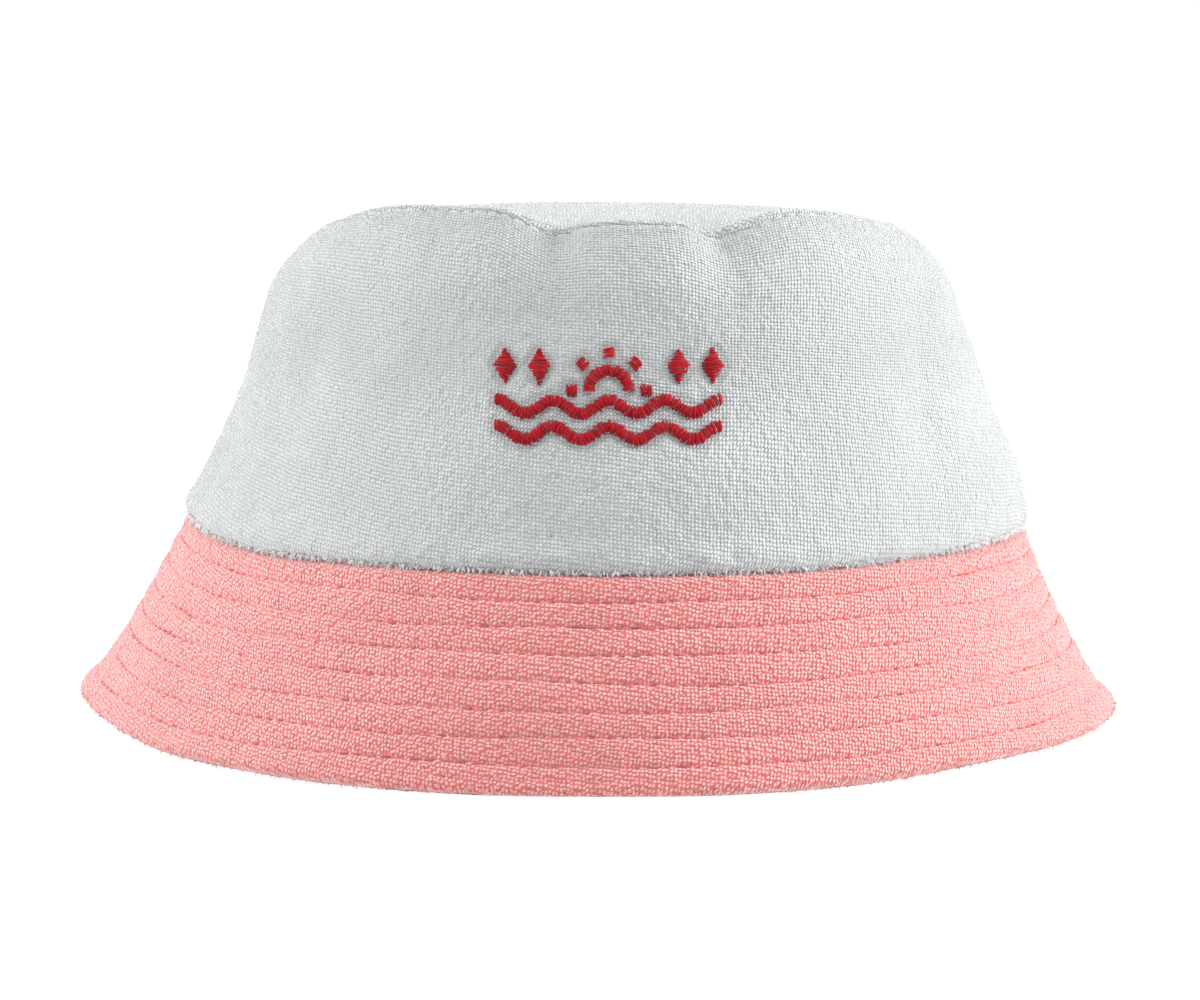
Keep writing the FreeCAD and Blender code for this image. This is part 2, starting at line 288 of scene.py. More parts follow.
def side_bulge(turn, above):
    """Swelling of the crown at its sides, and a little of it all round."""
    total = 0.0
    for side, out, height, width in BULGES:
        share = 0.2 + 0.8 * np.clip(side * np.sin(turn), 0, 1) ** 3
        total = total + out * share * bell(above / MM, height, width)
    return total * MM


def folds(turn, run):
    """How deep the crown's soft folds are, in metres."""
    total = 0.0
    for start, end, depth, width, middle, reach in FOLDS:
        away = np.degrees(wrapped(turn - np.radians(start + (end - start) * run)))
        total = total + depth * bell(away, 0, width) * bell(run, middle, reach)
    return total * MM


def crown_wall(turn, run):
    """The crown's side: run goes from 0 at the brim seam to 1 at the tip seam."""
    inward, upward = np.moveaxis(spline(PROFILE, run), -1, 0)
    radius = SEAM_RADIUS + (TIP_RADIUS - SEAM_RADIUS) * inward
    height = SEAM_Z + (TIP_SEAM_Z - SEAM_Z) * upward
    out, up = seam_offsets(TIP_SEAM, turn)
    seam_rise = seam_offsets(BRIM_RISE, turn)[0]
    near_tip = smooth(run, 0.5, 1.0)
    above = height - SEAM_Z
    radius = radius + near_tip * out + side_bulge(turn, above)
    radius = radius + waviness(turn, run) * smooth(run, 0.0, 0.25) * (1 - 0.6 * near_tip) - folds(turn, run)
    lean = spline(LEAN, above / MM)[..., 0] * MM
    height = height + near_tip * up
    height = height + (seam_rise + TILT * radius * np.sin(turn)) * (1 - smooth(run, 0.0, 0.4))
    return placed(turn, radius, height, lean)


def crown_tip(across, deep):
    """The crown's tip over a unit disc: across grows towards +X and deep towards the back."""
    rim = np.clip(np.hypot(across, deep), 1e-6, None)
    turn = np.arctan2(across, -deep)
    seam = crown_wall(turn, np.ones_like(turn))
    lean = spline(LEAN, np.array((TIP_SEAM_Z - SEAM_Z) / MM))[0] * MM
    flat = seam[..., :2] - (lean, 0)
    rise = 1 - np.clip(rim, 0, 1) ** TIP_DOME
    uneven = 0.5 * np.sin(3 * across + 1) * np.cos(2.5 * deep) + 0.3 * deep - 0.6 * across - 0.6
    top = CROWN_TOP_Z + uneven * MM
    height = seam[..., 2] + (top - seam[..., 2]) * rise
    return np.concatenate([flat * rim[..., None] + (lean, 0), height[..., None]], axis=-1)


def brim_section(turn):
    """The brim's straight section at a turn: the heights of its seam and edge, and its length."""
    seam_rise, edge_rise = seam_offsets(BRIM_RISE, turn)
    top = SEAM_Z + seam_rise
    return top, edge_rise, np.hypot(BRIM_RADIUS - SEAM_RADIUS, top - edge_rise)


def brim_width(turn):
    return brim_section(turn)[2] - 0.6 * MM


def brim(turn, along, out):
    """A point of the brim, this far down from the seam and out from the middle of its thickness."""
    top, bottom, length = brim_section(turn)
    share = along / length
    inside = np.clip(share, 0, 1)
    side = np.sin(turn)
    along_r, along_z = (BRIM_RADIUS - SEAM_RADIUS) / length, (bottom - top) / length
    off = out - BRIM_HALF + waviness(turn, share) * 1.3 * smooth(share, 0.2, 1.0)
    for which, swell, flare in BRIM_PUFFS:
        near = np.clip(which * side, 0, 1) ** 2
        off = off + near * (swell * np.sin(pi * inside**0.8) + flare * smooth(share, 0.8, 1.0)) * MM
    radius = SEAM_RADIUS + along * along_r - off * along_z
    height = top + along * along_z + off * along_r
    lean = (1 - inside) * LEAN[0][1] * MM
    height = height + TILT * radius * side
    return placed(turn, radius, np.maximum(height, 0.15 * MM), lean)


def directions(surface, u, v, step=2e-3):
    """Unit vectors square to a surface."""
    first = surface(u + step, v) - surface(u - step, v)
    second = surface(u, v + step) - surface(u, v - step)
    return unit(np.cross(first, second))


def sunken(surface, u, v, depth):
    """Points this far inside a surface."""
    return surface(u, v) - directions(surface, u, v) * np.asarray(depth, float)[..., None]


def crown_depth(turn, run, depth):
    return sunken(crown_wall, turn, run, depth)


def tip_depth(across, deep, depth):
    return sunken(crown_tip, across, deep, depth)


# ---- Meshes ----


def grid_quads(rows, columns):
    """Row and column of the four corners of each face of a grid."""
    r, c = np.meshgrid(np.arange(rows - 1), np.arange(columns - 1), indexing="ij")
    row = np.stack([r, r, r + 1, r + 1], -1).reshape(-1, 4)
    column = np.stack([c, c + 1, c + 1, c], -1).reshape(-1, 4)
    return row, column


def strips(rows, columns, row, column, count, low, high):
    """Bake UVs of a grid's faces: it is cut across into strips that are stacked from low to high."""
    strip = np.minimum(column[:, :1] * count // (columns - 1), count - 1)
    u = column / (columns - 1) * count - strip
    v = (strip + 0.02 + 0.96 * row / (rows - 1)) / count
    return np.stack([0.01 + 0.98 * u, low + (high - low) * v], -1)


def finished(name, points, faces, uvs, look):
    """Makes an object from arrays of faces' vertex numbers, and an array of corner UVs for each map."""
    mesh = bpy.data.meshes.new(name)
    corners = np.concatenate([face.ravel() for face in faces])
    sizes = np.concatenate([np.full(len(face), face.shape[1]) for face in faces])
    mesh.vertices.add(len(points))
    mesh.vertices.foreach_set("co", np.asarray(points, np.float32).ravel())
    mesh.loops.add(len(corners))
    mesh.loops.foreach_set("vertex_index", corners.astype(np.int32))
    mesh.polygons.add(len(sizes))
    mesh.polygons.foreach_set("loop_start", (np.cumsum(sizes) - sizes).astype(np.int32))
    mesh.update(calc_edges=True)
    for map_name, coordinates in uvs.items():
        layer = mesh.uv_layers.new(name=map_name)
        layer.uv.foreach_set("vector", np.asarray(coordinates, np.float32).ravel())
    mesh.uv_layers["cloth"].active_render = True
    mesh.polygons.foreach_set("use_smooth", np.full(len(sizes), True))
    material, slot = look
    mesh.materials.append(material)
    piece = bpy.data.objects.new(name, mesh)
    bpy.context.scene.collection.objects.link(piece)
    return piece


def attribute(piece, name, values):
    layer = piece.data.attributes.new(name, "FLOAT", "POINT")
    layer.data.foreach_set("value", np.asarray(values, np.float32).ravel())


def hem(fine, coarse, step):
    """Faces that join a fine edge to a coarse one, each over so many fine steps."""
    count = len(coarse) - 1
    starts = np.arange(count)[:, None] * step + np.arange(step + 1)[None, :]
    return np.concatenate([fine[starts], coarse[1:, None], coarse[:-1, None]], axis=1)


def pairs(*parts):
    return np.concatenate([part.reshape(-1, 2) for part in parts])


def cloth(name, outer, inner, flat, press, look, strip_count=2):
    """A closed piece of cloth: a fine outer grid, a coarser inner one, and a hem round both."""
    rows, columns = outer.shape[:2]
    inner_rows, inner_columns = inner.shape[:2]
    step = (rows - 1) // (inner_rows - 1)
    outer_at = np.arange(rows * columns).reshape(rows, columns)
    inner_at = rows * columns + np.arange(inner_rows * inner_columns).reshape(inner_rows, inner_columns)
    row, column = grid_quads(rows, columns)
    inner_row, inner_column = (turned[:, ::-1] for turned in grid_quads(inner_rows, inner_columns))
    borders = [
        hem(outer_at[0][::-1], inner_at[0][::-1], step),
        hem(outer_at[-1], inner_at[-1], step),
        hem(outer_at[:, 0], inner_at[:, 0], step),
        hem(outer_at[:, -1][::-1], inner_at[:, -1][::-1], step),
    ]
    faces = [outer_at[row, column], inner_at[inner_row, inner_column]] + borders
    edge_numbers = np.concatenate([border.ravel() for border in borders])
    bake = pairs(
        strips(rows, columns, row, column, strip_count, 0.0, 0.8),
        strips(inner_rows, inner_columns, inner_row, inner_column, strip_count, 0.81, 0.98),
        np.full((len(edge_numbers), 2), 0.99),
    )
    inner_flat = flat[::step, ::step]
    edge_flat = pairs(flat, inner_flat)[edge_numbers]
    flat_corners = pairs(flat[row, column], inner_flat[inner_row, inner_column], edge_flat)
    points = np.concatenate([outer.reshape(-1, 3), inner.reshape(-1, 3)])
    uvs = {"cloth": flat_corners / MM, "OFBake": bake}
    piece = finished(name, points, faces, uvs, look)
    attribute(piece, "press", np.concatenate([press.ravel(), press[::step, ::step].ravel()]))
    return piece


def counts(width, height, step=VERTEX_STEP, coarse=COARSE):
    """Rows and columns of a grid over this size, one more than a multiple of the coarse step."""
    return [1 + coarse * max(2, math.ceil(size / step / coarse)) for size in (height, width)]


def tubes(name, paths, lifts, radii, look, sides=6):
    """Threads: a tube round each path, N x M points with the directions that lift them off the cloth."""
    number, steps = paths.shape[:2]
    forward = unit(np.gradient(paths, axis=1))
    across = unit(np.cross(forward, lifts))
    lifted = np.cross(across, forward)
    angles = np.arange(sides) * 2 * pi / sides
    ring = across[:, :, None] * np.cos(angles)[:, None] + lifted[:, :, None] * np.sin(angles)[:, None]
    points = paths[:, :, None] + ring * radii[..., None, None]
    at = np.arange(number * steps * sides).reshape(number, steps, sides)
    row, column = grid_quads(steps, sides + 1)
    walls = np.concatenate([at, at[:, :, :1]], axis=2)[:, row, column]
    faces = [walls.reshape(-1, 4), at[:, 0, ::-1], at[:, -1]]
    tiles = math.ceil(math.sqrt(number))
    local = np.stack([row / (steps - 1), column / sides], -1)
    order = np.arange(number)
    tile = np.stack([order % tiles, order // tiles], -1)[:, None, None]
    bake = (tile + 0.05 + 0.9 * local[None]) / tiles
    middle = (tile[:, 0] + np.full((1, sides, 2), 0.5)) / tiles
    length = np.linalg.norm(np.diff(paths, axis=1), axis=-1).sum(1)
    flat = local[None] * np.stack([length / MM, np.ones(number)], -1)[:, None, None]
    cap = np.zeros((number, sides, 2))
    uvs = {"cloth": pairs(flat, cap, cap), "OFBake": pairs(bake, middle, middle)}
    piece = finished(name, points.reshape(-1, 3), faces, uvs, look)
    attribute(piece, "strand", np.repeat(RNG.random(number), steps * sides))
    return piece


# ---- Materials ----


class Graph:
    """Builds one material's nodes. Its look is the material and the frame's slot that it stands for."""

    def __init__(self, name, slot=None):
        self.material = bpy.data.materials.new(name)
        self.material.use_nodes = True
        self.look = (self.material, slot or name)
        self.tree = self.material.node_tree
        self.tree.nodes.clear()

    def add(self, kind, inputs=None, output=0, **settings):
        """Adds a node, sets or links its inputs, and gives one of its outputs."""
        node = self.tree.nodes.new("ShaderNode" + kind)
        for name, value in settings.items():
            setattr(node, name, value)
        for name, value in (inputs or {}).items():
            if isinstance(value, bpy.types.NodeSocket):
                self.tree.links.new(value, node.inputs[name])
            else:
                node.inputs[name].default_value = value
        return node.outputs[output]

    def math(self, operation, first, second=0.0, clamp=False):
        return self.add("Math", {0: first, 1: second}, operation=operation, use_clamp=clamp)

    def times(self, first, second):
        return self.math("MULTIPLY", first, second)

    def between(self, value, low, high, start=0.0, end=1.0):
        ends = {"Value": value, "From Min": low, "From Max": high, "To Min": start, "To Max": end}
        return self.add("MapRange", ends, interpolation_type="SMOOTHSTEP")

    def mix(self, share, first, second):
        return self.add("Mix", {0: share, 6: first, 7: second}, output=2, data_type="RGBA")

    def flat(self):
        """The cloth's own plane, in millimetres."""
        return self.add("UVMap", uv_map="cloth")

    def noise(self, place, scale, detail=2.0, output=0):
        inputs = {"Vector": place, "Scale": scale, "Detail": detail}
        return self.add("TexNoise", inputs, output=output, noise_dimensions="2D")

    def finish(self, colour, height, depth, roughness, sheen, specular=0.3):
        normal = self.add("Bump", {"Height": height, "Distance": depth})
        inputs = {
            "Base Color": colour,
            "Normal": normal,
            "Roughness": roughness,
            "Sheen Weight": sheen,
            "Sheen Roughness": 0.5,
            "Specular IOR Level": specular,
        }
        self.add_output(self.add("BsdfPrincipled", inputs))
        return self.look

    def add_output(self, shader):
        output = self.tree.nodes.new("ShaderNodeOutputMaterial")
        self.tree.links.new(shader, output.inputs["Surface"])


def shade(colour, factor):
    return tuple(min(1.0, part * factor) for part in colour[:3]) + (1.0,)


def terry(name, pitch, shaded_gap, body, lit_tuft, pressed, disorder, sheen):
    """Terry loops: small strokes in rows, painted light on their tips, with painted shade in the dark gaps
    between them.
    """
    g = Graph(name)
    flat = g.flat()
    drift = g.noise(flat, 0.035, 1.0, output=1)
    drift = g.add("VectorMath", {0: drift, 1: (0.5, 0.5, 0.5)}, operation="SUBTRACT")
    drift = g.add("VectorMath", {0: drift, "Scale": 9.0 * disorder}, operation="SCALE")
    place = g.add("VectorMath", {0: flat, 1: drift}, operation="ADD")
    cells = g.add("Mapping", {"Vector": place, "Scale": (1 / pitch[0], 1 / pitch[1], 0.0)})
    settings = {"Vector": cells, "Scale": 1.0, "Randomness": disorder}
    voronoi = g.add("TexVoronoi", settings, voronoi_dimensions="2D").node
    away = g.add("VectorMath", {0: cells, 1: voronoi.outputs["Position"]}, operation="SUBTRACT")
    slant = {"Vector": away, "Rotation": (0.0, 0.0, 0.7), "Scale": (1.25, 0.85, 1.0)}
    stroke = g.add("Mapping", slant, vector_type="TEXTURE")
    reach = g.add("VectorMath", {0: stroke}, output="Value", operation="LENGTH")
    loop = g.between(reach, 0.12, 0.56, 1.0, 0.0)
    luck = g.add("SeparateColor", {"Color": voronoi.outputs["Color"]}, output="Red")
    press = g.add("Attribute", output="Fac", attribute_name="press")
    fibre = g.noise(flat, 1.6, 2.0)
    lit = g.times(loop, g.between(luck, 0.0, 1.0, 0.65, 1.0))
    lit = g.math("ADD", lit, g.between(fibre, 0.3, 0.7, -0.1, 0.1), clamp=True)
    # Painted shade and light: the colour runs from a dark one in the gaps between the loops to a light one
    # on their tips.
    colour = g.mix(g.between(lit, 0.0, 0.5), shaded_gap, body)
    colour = g.mix(g.between(lit, 0.45, 1.0), colour, lit_tuft)
    clumps = g.between(g.noise(flat, 0.09, 3.0), 0.35, 0.65, 0.0, 0.12)
    colour = g.mix(clumps, colour, shaded_gap)
    # Where the cloth is pressed its loops give way to one pressed colour; on the brim that colour is darker,
    # partly pressed pile and partly painted shade in the grooves.
    colour = g.mix(g.math("MULTIPLY", press, 0.75, clamp=True), colour, pressed)
    free = g.math("SUBTRACT", 1.0, g.math("MULTIPLY", press, 0.5), clamp=True)
    return g.finish(colour, g.times(lit, free), 0.6 * MM, 0.95, sheen, 0.1)


def weave(name, colour, pitch, sheen=0.1, rough=0.8):
    """Plain weave: two sets of yarn that pass over and under each other."""
    g = Graph(name)
    flat = g.flat()
    place = g.add("Mapping", {"Vector": flat, "Scale": (1 / pitch, 1 / pitch, 1.0)})
    parts = g.add("SeparateXYZ", {"Vector": place}).node.outputs
    warp, weft = (g.math("ABSOLUTE", g.math("SINE", g.times(parts[i], pi))) for i in (0, 1))
    over = g.add("TexChecker", {"Vector": place, "Scale": 1.0}, output="Fac")
    under = g.math("SUBTRACT", 1.0, over)
    height = g.math("ADD", g.times(warp, over), g.times(weft, under))
    slub = g.between(g.noise(flat, 0.5, 3.0), 0.3, 0.7, 0.0, 0.25)
    # Painted shade and light: the yarn is darker low in the weave, between the yarns, and a little lighter
    # on top.
    tone = g.mix(g.between(height, 0.1, 0.8), shade(colour, 0.72), shade(colour, 1.04))
    tone = g.mix(slub, tone, shade(colour, 0.88))
    return g.finish(tone, height, 0.1 * MM, rough, sheen, 0.25)


TWISTS = 2.6  # turns of a thread's ply to the millimetre


def thread(name, colour, rough, sheen, specular, slot=None):
    """Twisted thread: slanting ridges along each strand, and strands that differ a little."""
    g = Graph(name, slot)
    parts = g.add("SeparateXYZ", {"Vector": g.flat()}).node.outputs
    slant = g.math("ADD", g.times(parts[0], TWISTS), parts[1])
    twist = g.math("SINE", g.times(slant, 2 * pi))
    strand = g.add("Attribute", output="Fac", attribute_name="strand")
    tone = g.mix(g.between(strand, 0.0, 1.0), shade(colour, 0.78), shade(colour, 1.12))
    tone = g.mix(g.between(twist, -1.0, 1.0, 0.0, 0.35), tone, shade(colour, 0.6))
    return g.finish(tone, twist, 0.03 * MM, rough, sheen, specular)


# In each terry the darkest colour is painted shade between the loops and the lightest is painted light on
# their tips.
CROWN_TERRY = terry(
    "crown_terry",
    LOOP,
    shaded_gap=(0.41, 0.43, 0.438, 1),
    body=(0.61, 0.634, 0.638, 1),
    lit_tuft=(0.73, 0.754, 0.752, 1),
    pressed=(0.66, 0.69, 0.69, 1),
    disorder=0.22,
    sheen=0.45,
)
BRIM_TERRY = terry(
    "brim_terry",
    BRIM_LOOP,
    shaded_gap=(0.62, 0.13, 0.12, 1),
    body=(0.88, 0.33, 0.31, 1),
    lit_tuft=(1.0, 0.54, 0.515, 1),
    # Darker where pressed: partly the pressed pile, partly painted shade in the quilting grooves, at the hem
    # and under the crown's edge.
    pressed=(0.62, 0.16, 0.15, 1),
    disorder=0.42,
    sheen=0.9,
)
LINING_COTTON = weave("lining_cotton", (0.74, 0.75, 0.74), 0.42)
BAND_COTTON = weave("sweatband_cotton", (0.70, 0.73, 0.75), 0.55)
SEAM_TAPE = weave("seam_tape", (0.78, 0.78, 0.76), 0.5)
STABILISER = weave("stabiliser", (0.76, 0.76, 0.74), 0.9)
SATIN = weave("label_satin", (0.86, 0.86, 0.85), 0.22, 0.3, 0.45)
CROWN_THREAD = thread("crown_thread", (0.62, 0.66, 0.66), 0.7, 0.2, 0.3)
BRIM_THREAD = thread("brim_thread", (0.58, 0.13, 0.12), 0.7, 0.2, 0.3)
SATIN_THREAD = thread("embroidery_thread", (0.36, 0.001, 0.009), 0.45, 0.0, 0.18)
# Whiter than the crown's terry that it stands for: painted light that makes up for the shade the fuzz casts
# on itself.
CROWN_FUZZ = thread("crown_fuzz", (0.96, 0.98, 0.98), 0.9, 0.3, 0.1, "crown_terry")
BRIM_FUZZ = thread("brim_fuzz", (0.90, 0.42, 0.40), 0.9, 0.5, 0.1, "brim_terry")


# ---- Relief of the cloth ----


def pile(shape):
    """Unevenness of the terry's loops and clumps, in metres."""
    return (0.09 * rough(shape, 0.6) + 0.04 * rough(shape, 3.0) + 0.10 * rough(shape, 14.0)) * MM


def tip_seam_relief(distance):
    """The rolled lips beside the tip seam and the grooves of its topstitching."""
    lips = 0.45 * bell(distance, 0.5 * LIP, 0.6 * MM) + 0.35 * bell(distance, 1.8 * LIP, 1.6 * MM)
    grooves = 1.0 * bell(distance, 0.0, 0.45 * MM) + 0.55 * bell(distance, LIP, 0.5 * MM)
    return (lips - grooves) * MM


def wall_relief(turn, run):
    """The crown's side: tucked in at the brim seam, and drawn in at the side seams and the tip seam."""
    from_seam, from_tip = run * WALL_RUN, (1 - run) * WALL_RUN
    from_side = (pi / 2 - np.abs((turn + pi / 2) % pi - pi / 2)) * SEAM_RADIUS
    tuck = 1.7 * bell(from_seam, 0.0, 0.9 * MM) - 0.35 * bell(from_seam, 3.0 * MM, 2.2 * MM)
    side_seam = 1.1 * bell(from_side, 0.0, 0.6 * MM) - 0.25 * bell(from_side, 2.5 * MM, 1.8 * MM)
    return tip_seam_relief(from_tip) - (tuck + side_seam) * MM


def row_place(turn, number):
    """How far down the brim a row of quilting runs."""
    wander = 0.35 * np.sin(3 * turn + 1.7 * number) + 0.2 * np.sin(8 * turn + 2.9 * number)
    return brim_width(turn) * number / (ROWS + 1) + wander * MM


def brim_folds(turn, along):
    """How far the brim has swollen between its rows of quilting, and how far it is pressed along them."""
    places = [0 * turn] + [row_place(turn, number) for number in range(1, ROWS + 1)] + [brim_width(turn)]
    swollen, pressed = np.zeros(along.shape), np.zeros(along.shape)
    for above, below in zip(places[:-1], places[1:]):
        share = np.clip((along - above) / (below - above), 0, 1)
        swollen = np.maximum(swollen, np.sin(pi * share**0.8) ** 0.7)
    for place in places[1:-1]:
        pressed = np.maximum(pressed, bell(along, place, 0.5 * MM))
    return swollen, pressed


def brim_relief(turn, along):
    """Height of the brim's cover over the middle of its thickness."""
    swollen, pressed = brim_folds(turn, along)
    width = brim_width(turn)
    slack = 0.65 + 0.35 * np.sin(2.0 * turn + 0.4)
    pillow = BRIM_HALF + (0.34 * swollen - 0.3 - (0.15 + 0.25 * slack) * pressed) * MM
    pillow = pillow - 1.6 * MM * bell(along, -0.6 * MM, 1.5 * MM)
    hem_line = 0.2 * MM * bell(along, width - BRIM_HEM, 0.6 * MM)
    to_edge = np.clip((along - (width - BRIM_HALF)) / BRIM_HALF, 0, 1)
    return (pillow - hem_line) * np.sqrt(np.clip(1 - to_edge**2, 0, 1))


# ---- Motif ----


def satin_row(centres, across):
    """Both ends of each thread of a satin stroke, N x 2 x 2, from its centre line and half width."""
    return np.stack([centres - across, centres + across], 1)


def wave_threads(drop):
    """A wave across the motif: four crests, its threads square to its line."""
    half, pitch = MOTIF_HALF_WIDTH, 2 * MOTIF_HALF_WIDTH / WAVES
    x = np.arange(-half, half, THREAD_PITCH * 0.85)
    phase = 2 * pi * (x + half) / pitch
    line = np.stack([x, WAVE_HEIGHT * np.cos(phase) - drop], 1)
    slope = -WAVE_HEIGHT * np.sin(phase) * 2 * pi / pitch
    square = np.stack([-slope, np.ones_like(x)], 1)
    return satin_row(line, unit(square) * STROKE / 2)


def sun_threads():
    """The sun's rim, its threads fanned like spokes."""
    angle = np.linspace(0, pi, int(pi * SUN_RADIUS / THREAD_PITCH) + 1)
    spoke = np.stack([np.cos(angle), np.sin(angle)], 1)
    return satin_row(spoke * SUN_RADIUS + (0, SUN_RISE), spoke * STROKE / 2)


def ray_threads(number):
    """One ray of the sun, its threads across it."""
    angle = pi * number / (RAYS - 1)
    spoke = np.array([math.cos(angle), math.sin(angle)])
    reach = np.arange(RAY_START + THREAD_PITCH / 2, RAY_END, THREAD_PITCH)[:, None]
    line = spoke * reach + (0, SUN_RISE)
    return satin_row(line, np.broadcast_to([-spoke[1], spoke[0]], line.shape) * STROKE / 2)


def diamond_threads(x):
    """A filled diamond, its threads level."""
    half_width, half_height = DIAMOND_HALF
    z = np.arange(-half_height + THREAD_PITCH / 2, half_height, THREAD_PITCH)
    reach = half_width * (1 - np.abs(z) / half_height)
    line = np.stack([np.full_like(z, x), z + DIAMOND_RISE], 1)
    return satin_row(line, np.stack([reach, 0 * reach], 1))


def motif_threads():
    """Both ends of every thread of the motif, on the front of the hat as x and z in metres."""
    rows = [wave_threads(drop) for drop in WAVE_DROPS] + [sun_threads()]
    rows += [ray_threads(number) for number in range(RAYS)]
    rows += [diamond_threads(side * x) for x in DIAMOND_X for side in (-1, 1)]
    ends = np.concatenate(rows) * MM
    middle = (MOTIF_LOW.x + MOTIF_HIGH.x) / 2
    foot = max(WAVE_DROPS) + WAVE_HEIGHT + STROKE / 2
    return ends + (middle, MOTIF_LOW.z + foot * MM)


def on_crown(x, z):
    """The turn and run of the crown's front at this x and z."""
    turn, run = x / SEAM_RADIUS, (z - SEAM_Z) / WALL_RUN
    for _ in range(25):
        place = crown_wall(turn, run)
        turn = turn + (x - place[..., 0]) / SEAM_RADIUS
        run = run + (z - place[..., 2]) / WALL_RUN
    return turn, run


def motif_press(turn, run):
    """How far the terry is pressed down by the embroidery, from 0 to 1."""
    place = crown_wall(turn, run)
    threads = motif_threads()
    spots = threads.reshape(-1, 2)
    low, high = spots.min(0) - 3 * MM, spots.max(0) + 3 * MM
    seen = place[..., ::2]
    near = (place[..., 1] < 0) & ((seen > low) & (seen < high)).all(-1)
    shaded_gap = np.full(near.sum(), 1.0)
    for spot in np.concatenate([spots, threads.mean(1)]):
        shaded_gap = np.minimum(shaded_gap, np.hypot(*(seen[near] - spot).T))
    pressed = np.zeros(turn.shape)
    pressed[near] = 1 - smooth(shaded_gap, 0.7 * MM, 2.0 * MM)
    return pressed


def embroidery():
    """Satin stitch: threads side by side that bulge over a stroke and dive into the terry at its ends."""
    ends = motif_threads()
    ends = ends + RNG.normal(0, 0.13 * MM, ends.shape)
    across = np.linspace(-1, 1, 9)
    spots = ends[:, :1] * (1 - across[:, None]) / 2 + ends[:, 1:] * (1 + across[:, None]) / 2
    width = np.linalg.norm(ends[:, 1] - ends[:, 0], axis=1)[:, None]
    bulge = np.clip(width / (STROKE * MM), 0.3, 1.2) * SATIN_HEIGHT * np.sqrt(1 - 0.96 * across**2)
    bulge = bulge + RNG.normal(0, 0.05, (len(ends), 1))
    turn, run = on_crown(spots[..., 0], spots[..., 1])
    lifts = directions(crown_wall, turn, run)
    paths = crown_wall(turn, run) + lifts * (bulge[..., None] - 0.35) * MM
    radii = np.broadcast_to((0.25 - 0.08 * across**6) * MM, paths.shape[:2])
    piece = tubes("embroidery_threads", paths, lifts, radii, SATIN_THREAD, 8)
    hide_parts("embroidery_stitching")
    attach(piece, "crown")


# ---- Crown ----


def crown_cloth(piece, node):
    """The piece stands for a node and rides the crown."""
    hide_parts(node)
    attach(piece, "crown")


def half_turns(middle, columns):
    return middle + np.linspace(-pi / 2, pi / 2, columns)


def wall_flat(turn, run, middle):
    """The side of the crown laid flat, in metres. The cloth's rows run a little downhill."""
    round_it = (turn - middle) * (SEAM_RADIUS - 24 * MM * run)
    return np.stack([round_it, run * WALL_RUN + GRAIN * round_it], -1)


def crown_panel(place, middle):
    name = f"crown_{place}_panel"
    rows, columns = counts(pi * 0.92 * SEAM_RADIUS, WALL_RUN)
    turn, run = np.meshgrid(half_turns(middle, columns), np.linspace(0, 1, rows))
    motif = motif_press(turn, run)
    relief = wall_relief(turn, run) + pile(turn.shape) * (1 - 0.5 * motif) - 0.35 * MM * motif
    from_seam, from_tip = run * WALL_RUN, (1 - run) * WALL_RUN
    relief = relief + 0.16 * MM * rough(turn.shape, 3.5) * bell(from_seam, 2.6 * MM, 1.8 * MM)
    press = np.maximum(0.5 * bell(from_seam, 0, 0.8 * MM), 0.4 * bell(from_tip, LIP, 0.5 * MM))
    outer = crown_depth(turn, run, -relief)
    inner = crown_depth(turn[HIDDEN], run[HIDDEN], TERRY)
    flat = wall_flat(turn, run, middle)
    piece = cloth(name + "_terry", outer, inner, flat, press, CROWN_TERRY)
    crown_cloth(piece, name)


def disc_grid(rows):
    """A square grid mapped onto the unit disc, so that its border is the disc's rim."""
    u, v = np.meshgrid(np.linspace(-1, 1, rows), np.linspace(-1, 1, rows))
    return u * np.sqrt(1 - v**2 / 2), v * np.sqrt(1 - u**2 / 2)


def crown_tip_cover():
    rows = counts(2 * TIP_RADIUS, 2 * TIP_RADIUS)[0]
    across, deep = disc_grid(rows)
    from_seam = (1 - np.hypot(across, deep)) * TIP_RADIUS
    relief = tip_seam_relief(from_seam) + pile(across.shape)
    outer = tip_depth(across, deep, -relief)
    inner = tip_depth(across[HIDDEN], deep[HIDDEN], TERRY)
    flat = np.stack([across, OVAL * deep + GRAIN * across], -1) * TIP_RADIUS
    press = np.maximum(0.4 * bell(from_seam, LIP, 0.5 * MM), 0.3 * bell(from_seam, 0, 0.5 * MM))
    piece = cloth("crown_tip_terry", outer, inner, flat, press, CROWN_TERRY, 1)
    crown_cloth(piece, "crown_tip")


def stitches(radius, first=0.0):
    """Turns along each stitch of a row round the hat, how far it has sunk there, and its radius."""
    number = int(2 * pi * radius / (STITCH + STITCH_GAP))
    share = np.linspace(0, STITCH / (STITCH + STITCH_GAP), 5)
    turn = first + (np.arange(number)[:, None] + share) * 2 * pi / number
    return turn, 0.5 * STITCH_DIP * MM, np.broadcast_to((0.3 - 0.12 * STITCH_DIP) * MM, turn.shape)


def crown_row(name, points, lifts, radii):
    """A row of stitches on the crown, in place of the frame's row of that name."""
    piece = tubes(name + "_thread", points, lifts, radii, CROWN_THREAD)
    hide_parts(name)
    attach(piece, "crown")


